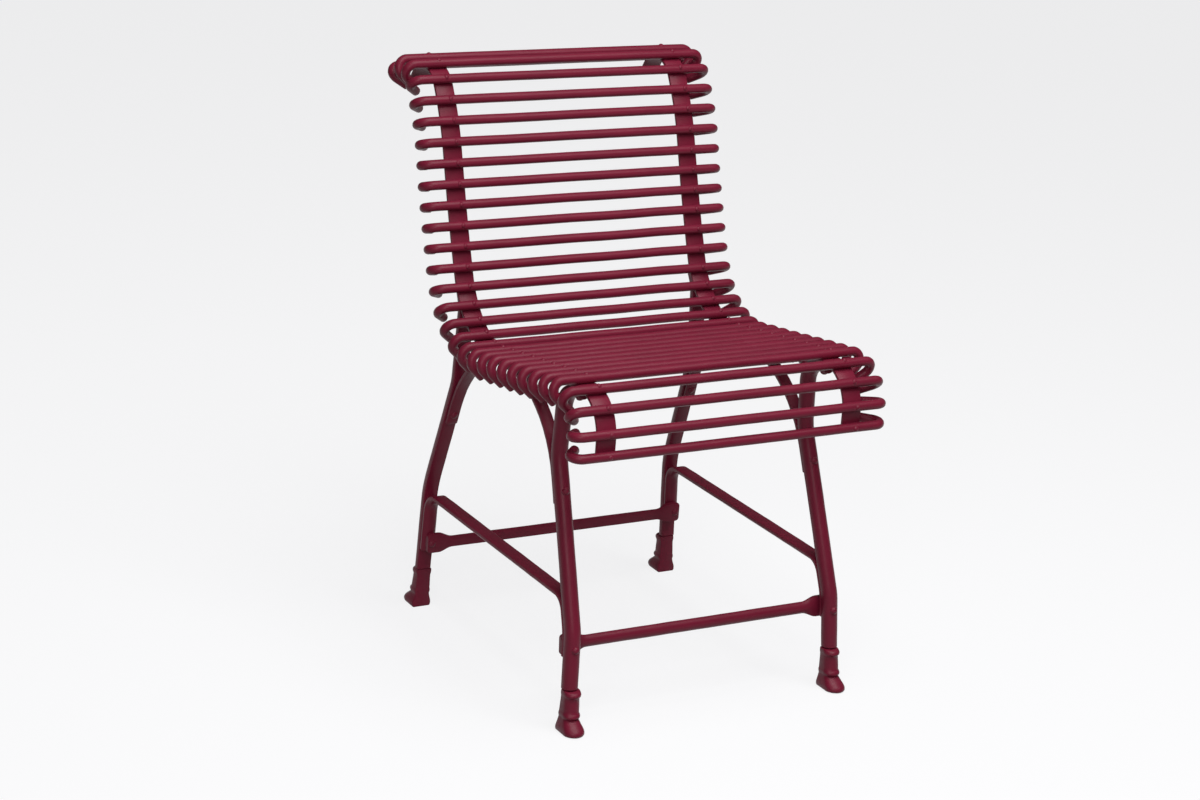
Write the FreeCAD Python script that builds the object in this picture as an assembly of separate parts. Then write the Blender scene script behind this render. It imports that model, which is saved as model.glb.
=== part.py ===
import FreeCAD, Part
import math
import os

# Garden chair of round steel rods on two bent flat straps, with four half-round legs.
# Millimetres. The chair faces -Y, +Z is up, and +X is to the right of a viewer in front.
# Every side outline is drawn in the side plane, where Y = 0 is midway between the
# front and the rear feet and Z = 0 is the floor. The last step moves the finished
# chair so that the middle of its bounding box stands over the origin.

# Rods
rod_diameter = 12.7
rod_overall_length = 465.0      # across the outsides of the two hooks
hook_bend_radius = 12.0         # to the middle of the rod
hook_bend_angle = 135.0         # how far the rod's end is turned back
hook_tail_length = 18.0

# Straps, measured along the middle of their thickness
strap_width = 27.0
strap_thickness = 5.0
strap_spacing = 361.5           # between the middles of the two straps
strap_start_y = -230.2          # the first rod of the front drop
strap_start_z = 374.0
strap_end_margin = 5.0          # strap below the first rod
front_drop_length = 18.6
front_bend_radius = 52.2
seat_fall_angle = 8.1           # the seat falls towards the back
seat_flat_length = 219.6
hip_bend_radius = 118.5
back_start_angle = 68.6         # from the floor
back_flat_length = 158.7
back_end_angle = 73.8
top_bend_radius = 355.0         # the back leans away above the flat stretch
top_end_angle = 57.8
scroll_radius = 41.5
scroll_end_turn = 124.0

# Rod spacing, along the strap
front_rod_count = 4
seat_rod_count = 10
back_rod_count = 13
top_rod_count = 4
front_rod_pitch = 26.7
seat_rod_pitch = 28.1
back_rod_pitch = 27.8
top_rod_pitch = 23.5

# Legs, measured on their flat inner faces
leg_width = 20.5
leg_depth = 16.0
leg_edge_height = 5.0           # straight part of the half-round section
leg_splay = 0.0412              # outward lean per millimetre of drop
leg_top_bend_radius = 38.0
leg_knee_radius = 80.0
foot_height = 55.0

front_ankle_y = -207.2
front_shin_y = -200.3           # where the shin meets the sloping thigh
front_shin_z = 127.0
front_shin_radius = 60.0
front_knee_y = -119.0
front_knee_z = 338.0
front_leg_tip_margin = 12.0     # from the rivet under the strap to the leg's tip

rear_ankle_y = 214.5
rear_shin_z = 174.0
rear_shin_radius = 120.0
rear_knee_y = 158.5
rear_knee_z = 343.0
rear_leg_top_radius = 45.0
rear_leg_tip_margin = 9.0       # from the rod's rivet to the leg's tip

# Arches between the front and the rear leg of each side
arch_width = 16.5
arch_thickness = 6.0
front_arch_radius = 160.0
rear_arch_radius = 146.0
front_arch_foot_z = 279.0
rear_arch_foot_z = 283.0

# Side stretchers
side_bar_width = 20.0
side_bar_depth = 9.5
side_bar_edge = 4.0
side_bar_top_z = 171.5
side_bar_bend_radius = 28.0
front_tail_foot_z = 95.5
rear_tail_foot_z = 86.0

# Cross stretchers
cross_bar_height = 16.0
cross_bar_depth = 7.5
cross_bar_edge = 2.5
front_bar_z = 107.5
rear_bar_z = 99.0
palm_height = 28.0
palm_beyond_rivet = 6.5
palm_width = 17.0
palm_tip_height = 22.0
palm_tip_length = 3.0
palm_neck_length = 20.0         # taper between the palm and the bar
palm_crown = 0.4                # how much the palm's outer face is rounded

# Rivets
rod_rivet_diameter = 5.0
rod_rivet_head_diameter = 8.0
rod_rivet_head_height = 1.6
frame_rivet_diameter = 6.0
frame_rivet_head_diameter = 11.0
frame_rivet_head_height = 3.0
rivet_hole_clearance = 0.1      # on the radius
arch_leg_rivet_up = 14.0        # above the foot of the arch

# Places along the straps that the frame's rivets use
front_leg_rivet_after = "seat_rod_01"   # midway to the next rod
arch_rivet_after = "seat_rod_08"        # midway to the next rod
rear_leg_rod = "back_rod_04"            # its rivets also hold the rear legs

# Hooves, each section a height above the floor, a half width and a depth from the flat face
hoof_inward = 1.0               # from the middle of the leg towards the chair's middle
hoof_round = 1.15               # rise of the rounded front, in half widths
hoof_sections = (
    (0.0, 12.6, 35.0),          # sole
    (3.0, 14.0, 39.0),
    (7.0, 13.8, 38.0),
    (12.0, 12.2, 32.0),
    (17.0, 10.9, 24.5),
    (18.5, 10.6, 23.0),         # groove over the hoof
    (20.5, 11.1, 25.0),
    (22.8, 11.6, 26.0),         # middle of the ring
    (25.5, 11.1, 25.0),
    (27.0, 10.6, 23.0),
    (36.0, 10.4, 22.0),
    (46.0, 10.2, 20.5),
    (47.5, 10.4, 21.5),
    (50.0, 11.0, 23.5),         # collar
    (53.0, 11.0, 22.5),
    (foot_height, 10.6, 19.5),
)

X_AXIS = FreeCAD.Vector(1, 0, 0)
rod_radius = rod_diameter / 2
half_strap = strap_thickness / 2


def vec(y, z, x=0.0):
    return FreeCAD.Vector(x, y, z)


def heading(degrees):
    """Unit vector in the side plane, 0 towards +Y and 90 straight up."""
    angle = math.radians(degrees)
    return vec(math.cos(angle), math.sin(angle))


def left_of(direction):
    """The side plane direction a quarter turn anticlockwise from another one."""
    return vec(-direction.z, direction.y)


# Strap outline as a chain of stretches, each a length and a turn in degrees

def strap_stretches():
    seat_angle = -seat_fall_angle
    front_turn = seat_angle - 90.0
    hip_turn = back_start_angle - seat_angle
    top_turn = top_end_angle - back_end_angle
    return (
        (strap_end_margin + front_drop_length, 0.0),
        (front_bend_radius * math.radians(-front_turn), front_turn),
        (seat_flat_length, 0.0),
        (hip_bend_radius * math.radians(hip_turn), hip_turn),
        (back_flat_length, back_end_angle - back_start_angle),
        (top_bend_radius * math.radians(-top_turn), top_turn),
        (scroll_radius * math.radians(scroll_end_turn), -scroll_end_turn),
    )


def advance(point, angle, length, turn):
    """The point and heading after a stretch of the chain."""
    if turn == 0.0:
        return point + heading(angle) * length, angle
    radius = length / math.radians(turn)
    centre = point + left_of(heading(angle)) * radius
    end = centre - left_of(heading(angle + turn)) * radius
    return end, angle + turn


def strap_place(distance):
    """The middle of the strap and its heading, at a distance from the first rod."""
    point = vec(strap_start_y, strap_start_z - strap_end_margin)
    angle = 90.0
    left = distance + strap_end_margin
    for length, turn in strap_stretches():
        if left <= length:
            return advance(point, angle, left, turn * left / length)
        point, angle = advance(point, angle, length, turn)
        left -= length
    raise ValueError("the strap is shorter than this")


def strap_wire():
    edges = []
    point = vec(strap_start_y, strap_start_z - strap_end_margin)
    angle = 90.0
    for length, turn in strap_stretches():
        end, end_angle = advance(point, angle, length, turn)
        if turn == 0.0:
            edges.append(Part.makeLine(point, end))
        else:
            middle, unused = advance(point, angle, length / 2, turn / 2)
            edges.append(Part.Arc(point, middle, end).toShape())
        point, angle = end, end_angle
    return Part.Wire(edges)


# Bent bars: a path with rounded corners and a section swept along it

def corner_wire(corners):
    """A wire through (point, radius) corners, each rounded to its radius."""
    edges = []
    last = corners[0][0]
    for index in range(1, len(corners) - 1):
        point, radius = corners[index]
        before = (point - corners[index - 1][0]).normalize()
        after = (corners[index + 1][0] - point).normalize()
        turn = before.getAngle(after)
        reach = radius * math.tan(turn / 2)
        start = point - before * reach
        end = point + after * reach
        inward = (after - before).normalize()
        bow = radius / math.cos(turn / 2) - radius
        edges.append(Part.makeLine(last, start))
        edges.append(Part.Arc(start, point + inward * bow, end).toShape())
        last = end
    edges.append(Part.makeLine(last, corners[-1][0]))
    return Part.Wire(edges)


def half_round(start, out, width, depth, edge):
    """Half-round section standing on its flat face, towards the out direction."""
    half = X_AXIS * (width / 2)
    low_left = start - half
    low_right = start + half
    high_left = low_left + out * edge
    high_right = low_right + out * edge
    crown = start + out * depth
    return Part.Wire([
        Part.makeLine(low_left, low_right),
        Part.makeLine(low_right, high_right),
        Part.Arc(high_right, crown, high_left).toShape(),
        Part.makeLine(high_left, low_left),
    ])


def flat_section(start, out, width, low, high):
    """Rectangular section between two distances from the path."""
    half = X_AXIS * (width / 2)
    corners = [start - half + out * low, start + half + out * low]
    corners += [start + half + out * high, start - half + out * high]
    return Part.makePolygon(corners + corners[:1])


def sweep(path, section):
    """Sweeps a section along a path in the side plane, keeping its width along X."""
    shell = Part.BRepOffsetAPI.MakePipeShell(path)
    shell.setBiNormalMode(X_AXIS)
    shell.add(section)
    shell.build()
    shell.makeSolid()
    return shell.shape()


def hole(centre, axis, diameter):
    """A long round cutter through a point."""
    reach = 60.0
    radius = diameter / 2 + rivet_hole_clearance
    return Part.makeCylinder(radius, reach, centre - axis * (reach / 2), axis)


# Splay: the legs lean outwards from the underside of the straps

def splay_top():
    """Height where the leaning side plane meets the middle of the strap."""
    return strap_place(midway_after(front_leg_rivet_after))[0].z


def splay_x(z):
    """Distance of the leaning side plane from the chair's middle at a height."""
    return strap_spacing / 2 + leg_splay * (splay_top() - z)


def lean(shape, side):
    """Stands a side plane part on one side of the chair, -1 left and +1 right."""
    matrix = FreeCAD.Matrix()
    matrix.A13 = -side * leg_splay
    matrix.A14 = side * splay_x(0.0)
    return shape.transformGeometry(matrix)


# Rods

def rod_distances():
    """Distance of each rod along the strap, by node name."""
    runs = (
        ("front_rod", front_rod_count, front_rod_pitch),
        ("seat_rod", seat_rod_count, seat_rod_pitch),
        ("back_rod", back_rod_count, back_rod_pitch),
        ("top_rod", top_rod_count, top_rod_pitch),
    )
    step_after = (front_rod_pitch, back_rod_pitch, back_rod_pitch, 0.0)
    places = {}
    distance = 0.0
    for run, (name, count, pitch) in enumerate(runs):
        for index in range(count):
            if index > 0:
                distance += pitch
            places["%s_%02d" % (name, index + 1)] = distance
        distance += step_after[run]
    return places


def midway_after(name):
    """Distance along the strap midway between a rod and the next one."""
    distances = rod_distances()
    names = list(distances)
    following = names[names.index(name) + 1]
    return (distances[name] + distances[following]) / 2


def rod_blank():
    """One rod along X at the origin, its hooks turned towards -Z."""
    bend_x = rod_overall_length / 2 - rod_radius - hook_bend_radius
    angle = math.radians(hook_bend_angle)
    centre_z = -hook_bend_radius
    half_angle = angle / 2
    middle = vec(0.0, centre_z + hook_bend_radius * math.cos(half_angle),
                 bend_x + hook_bend_radius * math.sin(half_angle))
    bend_end = vec(0.0, centre_z + hook_bend_radius * math.cos(angle),
                   bend_x + hook_bend_radius * math.sin(angle))
    tail_way = FreeCAD.Vector(math.cos(angle), 0, -math.sin(angle))
    tip = bend_end + tail_way * hook_tail_length
    mirrored = [FreeCAD.Vector(-p.x, p.y, p.z) for p in (tip, bend_end, middle)]
    straight_right = vec(0.0, 0.0, bend_x)
    straight_left = vec(0.0, 0.0, -bend_x)
    path = Part.Wire([
        Part.makeLine(mirrored[0], mirrored[1]),
        Part.Arc(mirrored[1], mirrored[2], straight_left).toShape(),
        Part.makeLine(straight_left, straight_right),
        Part.Arc(straight_right, middle, bend_end).toShape(),
        Part.makeLine(bend_end, tip),
    ])
    start_way = (mirrored[1] - mirrored[0]).normalize()
    circle = Part.Wire([Part.makeCircle(rod_radius, mirrored[0], start_way)])
    rod = path.makePipeShell([circle], True, False)
    for side in (-1, 1):
        centre = vec(0.0, 0.0, side * strap_spacing / 2)
        rod = rod.cut(hole(centre, vec(0, 1), rod_rivet_diameter))
    return rod


def rod_rivet_blank(beyond_strap):
    """Rivet of a rod at the origin: a head on the rod, its foot flush with the strap.

    A rivet that also holds a bar behind the strap reaches beyond it and has a second head."""
    foot = -rod_radius - strap_thickness - beyond_strap
    shank = Part.makeCylinder(rod_rivet_diameter / 2, rod_radius - foot, vec(0, foot))
    if beyond_strap > 0:
        tail_head = dome(vec(0, foot), vec(0, -1), rod_rivet_head_diameter / 2, rod_rivet_head_height)
        shank = shank.fuse(tail_head)
    head_radius = rod_rivet_head_diameter / 2
    seat_z = rod_radius - 2.0
    cap_height = 2.0 + rod_rivet_head_height
    head = dome(vec(0, seat_z), vec(0, 1), head_radius, cap_height)
    core = Part.makeCylinder(rod_radius, 4 * head_radius, vec(0, 0, -2 * head_radius), X_AXIS)
    return shank.fuse(head.cut(core)).removeSplitter()


def dome(base, axis, radius, height):
    """Spherical cap standing on its flat face."""
    sphere_radius = (radius ** 2 + height ** 2) / (2 * height)
    centre = base + axis * (height - sphere_radius)
    ball = Part.makeSphere(sphere_radius, centre)
    slab = Part.makeCylinder(2 * radius, 2 * height, base, axis)
    return ball.common(slab)


def set_on_strap(shape, distance, x):
    """Turns and moves a shape made at the rod's origin to its place on the strap."""
    middle, angle = strap_place(distance)
    centre = middle + left_of(heading(angle)) * (rod_radius + half_strap)
    placed = shape.copy()
    placed.rotate(vec(0, 0), X_AXIS, angle)
    placed.translate(FreeCAD.Vector(x, centre.y, centre.z))
    return placed


# Straps

def strap_blank():
    start = vec(strap_start_y, strap_start_z - strap_end_margin)
    section = flat_section(start, left_of(heading(90.0)), strap_width, -half_strap, half_strap)
    strap = sweep(strap_wire(), section)
    for distance in rod_distances().values():
        middle, angle = strap_place(distance)
        strap = strap.cut(hole(middle, left_of(heading(angle)), rod_rivet_diameter))
    return strap


def make_strap(blank, side):
    strap = blank.copy()
    strap.translate(vec(0, 0, side * strap_spacing / 2))
    for index in (FRONT_LEG_TO_STRAP, ARCH_TO_STRAP):
        strap = strap.cut(leaning_hole(index, side))
    return strap


# Lines that the legs and the arches share

def seat_underside(y):
    """Point on the seat stretch's underside at a place in the side plane."""
    middle, angle = strap_place(midway_after(front_leg_rivet_after))
    under = middle - left_of(heading(angle)) * half_strap
    return vec(y, under.z - math.tan(math.radians(seat_fall_angle)) * (y - under.y))


def behind_strap(beyond):
    """Point on the flat line that touches the strap behind the rear leg's rod."""
    middle, angle = strap_place(rod_distances()[rear_leg_rod])
    along = heading(angle)
    return middle - left_of(along) * half_strap + along * beyond


def meeting_point(first, second, third, fourth):
    """Where the line through two points meets the line through two others."""
    way = second - first
    other = fourth - third
    gap = third - first
    scale = (gap.y * other.z - gap.z * other.y) / (way.y * other.z - way.z * other.y)
    return first + way * scale


def front_leg_corners():
    ankle = vec(front_ankle_y, foot_height)
    shin = vec(front_shin_y, front_shin_z)
    knee = vec(front_knee_y, front_knee_z)
    top = seat_underside(front_knee_y)
    tip_place, unused = strap_place(midway_after(front_leg_rivet_after) - front_leg_tip_margin)
    tip = seat_underside(tip_place.y)
    return [(ankle, 0), (shin, front_shin_radius), (knee, leg_knee_radius),
            (top, leg_top_bend_radius), (tip, 0)]


def rear_leg_corners():
    ankle = vec(rear_ankle_y, foot_height)
    shin = vec(rear_ankle_y, rear_shin_z)
    knee = vec(rear_knee_y, rear_knee_z)
    upright = vec(rear_knee_y, rear_knee_z + 1.0)
    top = meeting_point(knee, upright, behind_strap(0.0), behind_strap(1.0))
    tip = behind_strap(rear_leg_tip_margin)
    return [(ankle, 0), (shin, rear_shin_radius), (knee, leg_knee_radius),
            (top, rear_leg_top_radius), (tip, 0)]


def on_line(low, high, z):
    """Point at a height on the line through two points."""
    share = (z - low.z) / (high.z - low.z)
    return low + (high - low) * share


def arch_corners():
    front = front_leg_corners()
    rear = rear_leg_corners()
    shin_f, knee_f = front[1][0], front[2][0]
    shin_r, knee_r = rear[1][0], rear[2][0]
    crown_a, crown_b = seat_underside(0.0), seat_underside(1.0)
    return [
        (on_line(shin_f, knee_f, front_arch_foot_z), 0),
        (meeting_point(shin_f, knee_f, crown_a, crown_b), front_arch_radius),
        (meeting_point(shin_r, knee_r, crown_a, crown_b), rear_arch_radius),
        (on_line(shin_r, knee_r, rear_arch_foot_z), 0),
    ]


def side_bar_corners():
    front = front_leg_corners()
    rear = rear_leg_corners()
    ankle_f, shin_f, knee_f = front[0][0], front[1][0], front[2][0]
    ankle_r, shin_r = rear[0][0], rear[1][0]
    return [
        (on_line(ankle_f, shin_f, front_tail_foot_z), 0),
        (shin_f, front_shin_radius),
        (on_line(shin_f, knee_f, side_bar_top_z), side_bar_bend_radius),
        (on_line(ankle_r, shin_r, side_bar_top_z), side_bar_bend_radius),
        (on_line(ankle_r, shin_r, rear_tail_foot_z), 0),
    ]


def wire_start_side(corners, side):
    """Out direction at the start of a path, on its left (+1) or right (-1)."""
    way = (corners[1][0] - corners[0][0]).normalize()
    return left_of(way) * side


# Frame rivets

FRONT_LEG_TO_BARS, REAR_LEG_TO_BARS, ARCH_TO_FRONT_LEG, ARCH_TO_REAR_LEG = range(4)
FRONT_LEG_TO_STRAP, ARCH_TO_STRAP = range(4, 6)


def frame_rivet_places():
    """For each rivet a point where two bars meet, an axis, and the depths it clamps.

    The first depth is along the axis from the point and the second one against it."""
    ankle_f, shin_f, knee_f = [corner for corner, unused in front_leg_corners()[:3]]
    ankle_r, shin_r, knee_r = [corner for corner, unused in rear_leg_corners()[:3]]
    forward_low = left_of((shin_f - ankle_f).normalize())
    forward_high = left_of((knee_f - shin_f).normalize())
    backward_low = left_of((shin_r - ankle_r).normalize()) * -1
    backward_high = left_of((knee_r - shin_r).normalize()) * -1
    bars = side_bar_depth + cross_bar_depth
    places = [
        (on_line(ankle_f, shin_f, front_bar_z), forward_low, leg_depth, bars),
        (on_line(ankle_r, shin_r, rear_bar_z), backward_low, leg_depth, bars),
        (on_line(shin_f, knee_f, front_arch_foot_z + arch_leg_rivet_up),
         forward_high, leg_depth, arch_thickness),
        (on_line(shin_r, knee_r, rear_arch_foot_z + arch_leg_rivet_up),
         backward_high, leg_depth, arch_thickness),
    ]
    for after, depth in ((front_leg_rivet_after, leg_depth), (arch_rivet_after, arch_thickness)):
        middle, angle = strap_place(midway_after(after))
        down = left_of(heading(angle)) * -1
        places.append((middle + down * half_strap, down, depth, strap_thickness))
    return places


def frame_rivet(point, axis, outward, inward):
    """Rivet through a joint, with a domed head at each end."""
    radius = frame_rivet_head_diameter / 2
    shank_start = point - axis * inward
    shank = Part.makeCylinder(frame_rivet_diameter / 2, inward + outward, shank_start, axis)
    sunk = 1.5
    outer = dome(point + axis * (outward - sunk), axis, radius, frame_rivet_head_height + sunk)
    inner = dome(shank_start, axis * -1, radius, frame_rivet_head_height)
    return shank.fuse([outer, inner]).removeSplitter()


def drilled(shape, indexes):
    """Cuts the chosen frame rivets' holes in a side plane part."""
    places = frame_rivet_places()
    for index in indexes:
        point, axis = places[index][:2]
        shape = shape.cut(hole(point, axis, frame_rivet_diameter))
    return shape


def leaning_hole(index, side):
    """Cutter for one frame rivet, leaning with the legs of one side."""
    point, axis = frame_rivet_places()[index][:2]
    return lean(hole(point, axis, frame_rivet_diameter), side)


def leg_blank(corners, out_side, rivets):
    path = corner_wire(corners)
    out = wire_start_side(corners, out_side)
    section = half_round(corners[0][0], out, leg_width, leg_depth, leg_edge_height)
    return drilled(sweep(path, section), rivets)


def front_leg_blank():
    rivets = (FRONT_LEG_TO_BARS, ARCH_TO_FRONT_LEG, FRONT_LEG_TO_STRAP)
    return leg_blank(front_leg_corners(), 1, rivets)


def rear_leg_blank():
    return leg_blank(rear_leg_corners(), -1, (REAR_LEG_TO_BARS, ARCH_TO_REAR_LEG))


def make_rear_leg(blank, side):
    """Rear leg with the hole for the rod's rivet that holds its top."""
    middle, angle = strap_place(rod_distances()[rear_leg_rod])
    centre = middle + X_AXIS * (side * strap_spacing / 2)
    return lean(blank, side).cut(hole(centre, left_of(heading(angle)), rod_rivet_diameter))


def arch_blank():
    corners = arch_corners()
    out = wire_start_side(corners, -1)
    section = flat_section(corners[0][0], out, arch_width, 0.0, arch_thickness)
    rivets = (ARCH_TO_FRONT_LEG, ARCH_TO_REAR_LEG, ARCH_TO_STRAP)
    return drilled(sweep(corner_wire(corners), section), rivets)


def side_bar_blank():
    corners = side_bar_corners()
    out = wire_start_side(corners, -1)
    section = half_round(corners[0][0], out, side_bar_width, side_bar_depth, side_bar_edge)
    return drilled(sweep(corner_wire(corners), section), (FRONT_LEG_TO_BARS, REAR_LEG_TO_BARS))


# Cross stretchers: a half-round bar with a flat palm at each end

def palm_section(face, axis, x, height, edge):
    """Section of a cross stretcher across X, flat on the face and rounded along the axis."""
    up = left_of(axis)
    if up.z < 0:
        up = up * -1
    centre = face + X_AXIS * x
    low = centre - up * (height / 2)
    high = centre + up * (height / 2)
    crown = centre + axis * cross_bar_depth
    return Part.Wire([
        Part.makeLine(low, high),
        Part.makeLine(high, high + axis * edge),
        Part.Arc(high + axis * edge, crown, low + axis * edge).toShape(),
        Part.makeLine(low + axis * edge, low),
    ])


def make_cross_bar(index):
    """Front or rear stretcher, its palms against the tails of the side stretchers."""
    point, axis = frame_rivet_places()[index][:2]
    face = point - axis * (side_bar_depth + cross_bar_depth)
    reach = splay_x(face.z) + palm_beyond_rivet
    palm_start = reach - palm_width
    bar_start = palm_start - palm_neck_length
    palm_edge = cross_bar_depth - palm_crown
    bar_section = palm_section(face, axis, -bar_start, cross_bar_height, cross_bar_edge)
    palm = Part.makeLoft([
        palm_section(face, axis, -reach, palm_tip_height, palm_edge),
        palm_section(face, axis, -reach + palm_tip_length, palm_height, palm_edge),
        palm_section(face, axis, -palm_start, palm_height, palm_edge),
        bar_section,
    ], True, True)
    far_section = palm_section(face, axis, bar_start, cross_bar_height, cross_bar_edge)
    bar = Part.makeLoft([bar_section, far_section], True, True)
    bar = bar.fuse([palm, palm.mirror(face, X_AXIS)]).removeSplitter()
    for side in (-1, 1):
        bar = bar.cut(leaning_hole(index, side))
    return bar


# Hooves

def hoof_section(z, half_width, depth, flat_y, out, x):
    """Outline at a height, flat on the leg's inner side and round towards out."""
    edge = depth - hoof_round * half_width
    left = vec(flat_y, z, x - half_width)
    right = vec(flat_y, z, x + half_width)
    forward = vec(out, 0)
    crown = vec(flat_y + out * depth, z, x)
    return Part.Wire([
        Part.makeLine(left, right),
        Part.makeLine(right, right + forward * edge),
        Part.Arc(right + forward * edge, crown, left + forward * edge).toShape(),
        Part.makeLine(left + forward * edge, left),
    ])


def make_hoof(flat_y, out, side):
    """Hoof under a leg whose flat face is at flat_y, its toe towards out (-1 or +1).

    Its sections follow the leaning leg, and the sole stays level with the floor."""
    sections = []
    for z, half_width, depth in hoof_sections:
        x = side * (splay_x(z) - hoof_inward)
        sections.append(hoof_section(z, half_width, depth, flat_y, out, x))
    return Part.makeLoft(sections, True, True)


# Rivet groups

def make_rod_rivets(side):
    """The rivets of all rods on one strap, the rear leg's one reaching through the leg."""
    short = rod_rivet_blank(0.0)
    long = rod_rivet_blank(leg_depth)
    x = side * strap_spacing / 2
    rivets = []
    for name, distance in rod_distances().items():
        blank = long if name == rear_leg_rod else short
        rivets.append(set_on_strap(blank, distance, x))
    return Part.makeCompound(rivets)


def make_frame_rivets(side, clamped):
    """The frame rivets of one side, their heads fitted to the bars."""
    rivets = []
    for point, axis, outward, inward in frame_rivet_places():
        rivet = lean(frame_rivet(point, axis, outward, inward), side)
        for bar in clamped:
            if rivet.BoundBox.intersect(bar.BoundBox):
                rivet = rivet.cut(bar)
        rivets.append(max(rivet.Solids, key=lambda solid: solid.Volume))
    return Part.makeCompound(rivets)


def build_nodes():
    nodes = {}
    rod = rod_blank()
    for name, distance in rod_distances().items():
        nodes[name] = set_on_strap(rod, distance, 0.0)
    strap_shape = strap_blank()
    rear_leg_shape = rear_leg_blank()
    blanks = {
        "front_leg": front_leg_blank(),
        "seat_arch": arch_blank(),
        "side_stretcher": side_bar_blank(),
    }
    nodes["front_stretcher"] = make_cross_bar(FRONT_LEG_TO_BARS)
    nodes["rear_stretcher"] = make_cross_bar(REAR_LEG_TO_BARS)
    for word, side in (("left", -1), ("right", 1)):
        strap = make_strap(strap_shape, side)
        nodes["strap_" + word] = strap
        nodes["rear_leg_" + word] = make_rear_leg(rear_leg_shape, side)
        for name, blank in blanks.items():
            nodes[name + "_" + word] = lean(blank, side)
        nodes["front_hoof_" + word] = make_hoof(front_ankle_y, -1, side)
        nodes["rear_hoof_" + word] = make_hoof(rear_ankle_y, 1, side)
        nodes["rod_rivets_" + word] = make_rod_rivets(side)
        bars = ("front_leg_", "rear_leg_", "seat_arch_", "side_stretcher_")
        clamped = [strap] + [nodes[bar + word] for bar in bars]
        clamped += [nodes["front_stretcher"], nodes["rear_stretcher"]]
        nodes["frame_rivets_" + word] = make_frame_rivets(side, clamped)
    return nodes


def centre_over_origin(nodes):
    """Moves every node so that the chair's bounding box is centred over the origin.

    Only rods, their rivets and hooves can reach the front and the back of that box."""
    box = FreeCAD.BoundBox()
    for name, shape in nodes.items():
        if "rod" in name or "hoof" in name:
            box.add(shape.optimalBoundingBox(True, False))
    shift = vec(-(box.YMin + box.YMax) / 2, 0.0)
    for shape in nodes.values():
        shape.translate(shift)


os.makedirs("parts", exist_ok=True)
chair = build_nodes()
centre_over_origin(chair)
for node_name, node_shape in chair.items():
    node_shape.exportStep("parts/%s.step" % node_name)
print(len(chair), "nodes written")
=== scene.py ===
"""Looks of a slatted metal garden chair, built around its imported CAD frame.

The chair is wine red painted steel: round rods with hooked ends lie across two bent
flat straps, and four half-round legs stand on cast hooves. Sizes are in millimetres
in the classes below and become metres in the meshes.
"""

import logging
import math
from dataclasses import dataclass, field
from enum import Enum
from functools import partial
from typing import Any, Optional, Sequence

import bmesh
import bpy
from mathutils import Matrix, Vector, noise

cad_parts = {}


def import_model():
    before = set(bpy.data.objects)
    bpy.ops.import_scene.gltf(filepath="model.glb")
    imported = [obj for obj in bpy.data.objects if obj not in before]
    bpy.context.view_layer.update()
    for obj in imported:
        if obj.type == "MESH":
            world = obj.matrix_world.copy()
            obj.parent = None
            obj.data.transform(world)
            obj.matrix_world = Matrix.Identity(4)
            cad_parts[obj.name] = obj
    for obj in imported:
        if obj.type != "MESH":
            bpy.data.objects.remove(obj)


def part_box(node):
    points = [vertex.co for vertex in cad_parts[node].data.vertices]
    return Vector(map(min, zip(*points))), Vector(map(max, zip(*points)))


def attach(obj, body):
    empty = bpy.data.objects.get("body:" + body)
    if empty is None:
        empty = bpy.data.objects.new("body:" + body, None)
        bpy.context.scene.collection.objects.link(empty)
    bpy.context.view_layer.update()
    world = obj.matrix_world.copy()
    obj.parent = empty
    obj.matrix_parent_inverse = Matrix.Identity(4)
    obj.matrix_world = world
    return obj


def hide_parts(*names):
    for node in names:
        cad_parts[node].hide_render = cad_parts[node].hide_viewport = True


LOG = logging.getLogger("garden_chair")
MM = 0.001
BODY = "root"
MARK_SEED = 7

UP = Vector((0.0, 0.0, 1.0))
BAR_CREASE = 35.0
HEAD_CREASE = 50.0
CASTING_CREASE = 60.0
BEND_STEP = math.radians(6)
FEWEST_BEND_STEPS = 4
CROWN_STEPS = 8
ARRIS_SHARE = 0.3
END_TAPER = 10.0
END_CLEAR = 1.5
HEAD_SIDES = 14
HEAD_PROFILE = ((0.0, 1.0), (0.35, 0.93), (0.7, 0.72), (0.92, 0.42), (1.0, 0.14))
MATH = "ShaderNodeMath"
VECTOR = "ShaderNodeVectorMath"

Outline = list[tuple[float, float]]


def add_node(
    tree: bpy.types.NodeTree, kind: str, inputs: Optional[dict[Any, Any]] = None, **settings: Any
) -> bpy.types.Node:
    """Adds a node with its inputs and its settings.

    Args:
        tree: The node tree that gets the node.
        kind: Blender's name of the node type.
        inputs: Input name or index, with a socket to link, a node whose first output is
            linked, or a value to set.
        settings: Attributes of the node to set.

    Returns:
        The new node.
    """
    node = tree.nodes.new(kind)
    for name, value in settings.items():
        setattr(node, name, value)
    for key, value in (inputs or {}).items():
        if isinstance(value, bpy.types.Node):
            value = value.outputs[0]
        if isinstance(value, bpy.types.NodeSocket):
            tree.links.new(value, node.inputs[key])
        else:
            node.inputs[key].default_value = value
    return node


def blank_material(name: str) -> bpy.types.Material:
    """Makes a material with an empty node tree."""
    material = bpy.data.materials.new(name)
    material.use_nodes = True
    material.node_tree.nodes.clear()
    return material


def linked(name: str, data: Any) -> bpy.types.Object:
    """Makes an object of some data and links it to the scene."""
    made = bpy.data.objects.new(name, data)
    bpy.context.scene.collection.objects.link(made)
    return made


def smooth(mesh: bpy.types.Mesh, crease: float) -> None:
    """Shades a mesh smooth, except at edges of the crease angle in degrees or more."""
    mesh.shade_smooth()
    mesh.set_sharp_from_angle(angle=math.radians(crease))


def at(y: float, z: float) -> Vector:
    """A place in the side plane."""
    return Vector((0.0, y, z))


def left_of(heading: float) -> Vector:
    """Unit vector a quarter turn anticlockwise from a heading in the side plane."""
    return at(-math.sin(heading), math.cos(heading))


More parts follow.
